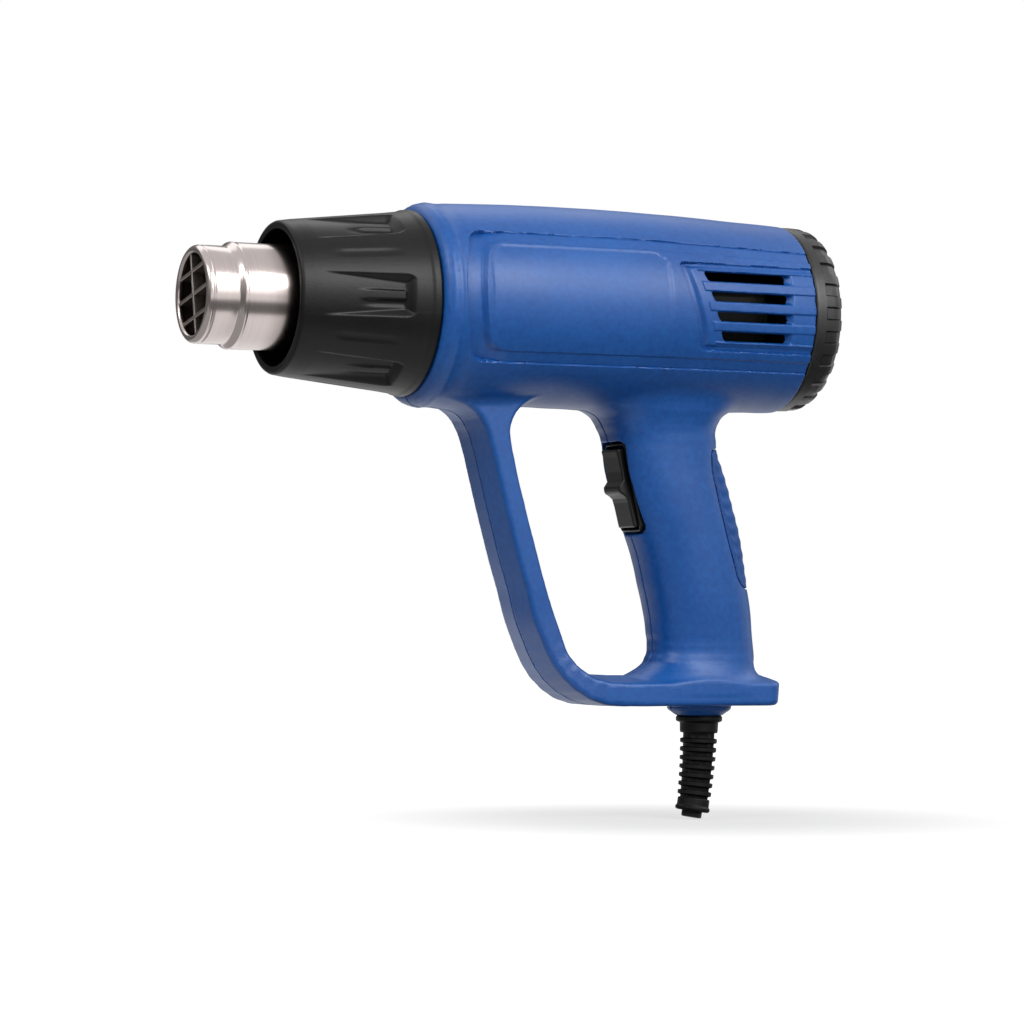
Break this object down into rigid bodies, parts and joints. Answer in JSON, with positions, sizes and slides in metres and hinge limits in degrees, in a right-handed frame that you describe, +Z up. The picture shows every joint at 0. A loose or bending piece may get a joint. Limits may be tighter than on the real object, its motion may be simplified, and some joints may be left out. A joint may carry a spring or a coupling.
{
  "type": "hot air tool",
  "caption": "Hand-held hot air tool: blue barrel with a pistol grip and D-shaped hand guard, black front sleeve round a steel outlet tube, rocker switch, side vents, rear cap and cord boot.",
  "frame": {"origin": "centre of the rear cap's flat end face, on the barrel axis", "axes": "+X along the barrel from the nozzle to the rear cap, +Y across the tool through the housing's parting plane, +Z up from the grip to the barrel"},
  "size_m": [0.2266, 0.07, 0.2083],
  "materials": {
    "blue_plastic": "fine moulded satin",
    "blue_soft": "soft matt",
    "black_plastic": "fine moulded satin",
    "nozzle_steel": "satin turned",
    "black_rubber": "matt",
    "screw_steel": "zinc plated",
    "mica": "flaky matt",
    "heater_wire": "oxidised",
    "ceramic": "matt",
    "magnet": "matt",
    "motor_iron": "laminated",
    "fan_plastic": "matt",
    "circuit_board": "satin",
    "yellow_plastic": "gloss",
    "lead_insulation": "satin"
  },
  "bodies": {
    "body": {"housing_left": "blue_plastic", "housing_right": "blue_plastic", "grip_pad": "blue_soft", "front_guard": "black_plastic", "rear_cap": "black_plastic", "switch_body": "black_plastic", "cord_clamp": "black_plastic", "motor_end_bell": "black_plastic", "motor_carrier": "black_plastic", "nozzle_tube": "nozzle_steel", "nozzle_grille": "nozzle_steel", "thermal_cutout": "nozzle_steel", "motor_can": "nozzle_steel", "strain_relief": "black_rubber", "cord_tail": "black_rubber", "clamp_screw_1": "screw_steel", "clamp_screw_2": "screw_steel", "housing_screw_1": "screw_steel", "housing_screw_2": "screw_steel", "housing_screw_3": "screw_steel", "housing_screw_4": "screw_steel", "housing_screw_5": "screw_steel", "housing_screw_6": "screw_steel", "mica_sleeve": "mica", "heater_former": "mica", "heater_coil": "heater_wire", "heater_insulator": "ceramic", "motor_magnet_1": "magnet", "motor_magnet_2": "magnet", "rectifier_board": "circuit_board", "capacitor": "yellow_plastic", "lead_live": "lead_insulation", "lead_neutral": "lead_insulation", "lead_heater": "lead_insulation", "lead_motor": "lead_insulation"},
    "rocker": {"switch_rocker": "black_plastic"},
    "rotor": {"motor_rotor": "motor_iron", "motor_shaft": "nozzle_steel", "fan_wheel": "fan_plastic"}
  },
  "joints": [
    {"name": "rocker_tilt", "type": "hinge", "parent": "body", "child": "rocker", "pos_m": [-0.06676, 0, -0.05946], "axis": [0, 1, 0], "range_deg": [-9, 9]},
    {"name": "rotor_spin", "type": "hinge", "parent": "body", "child": "rotor", "pos_m": [-0.047, 0, 0], "axis": [1, 0, 0], "continuous": true}
  ]
}
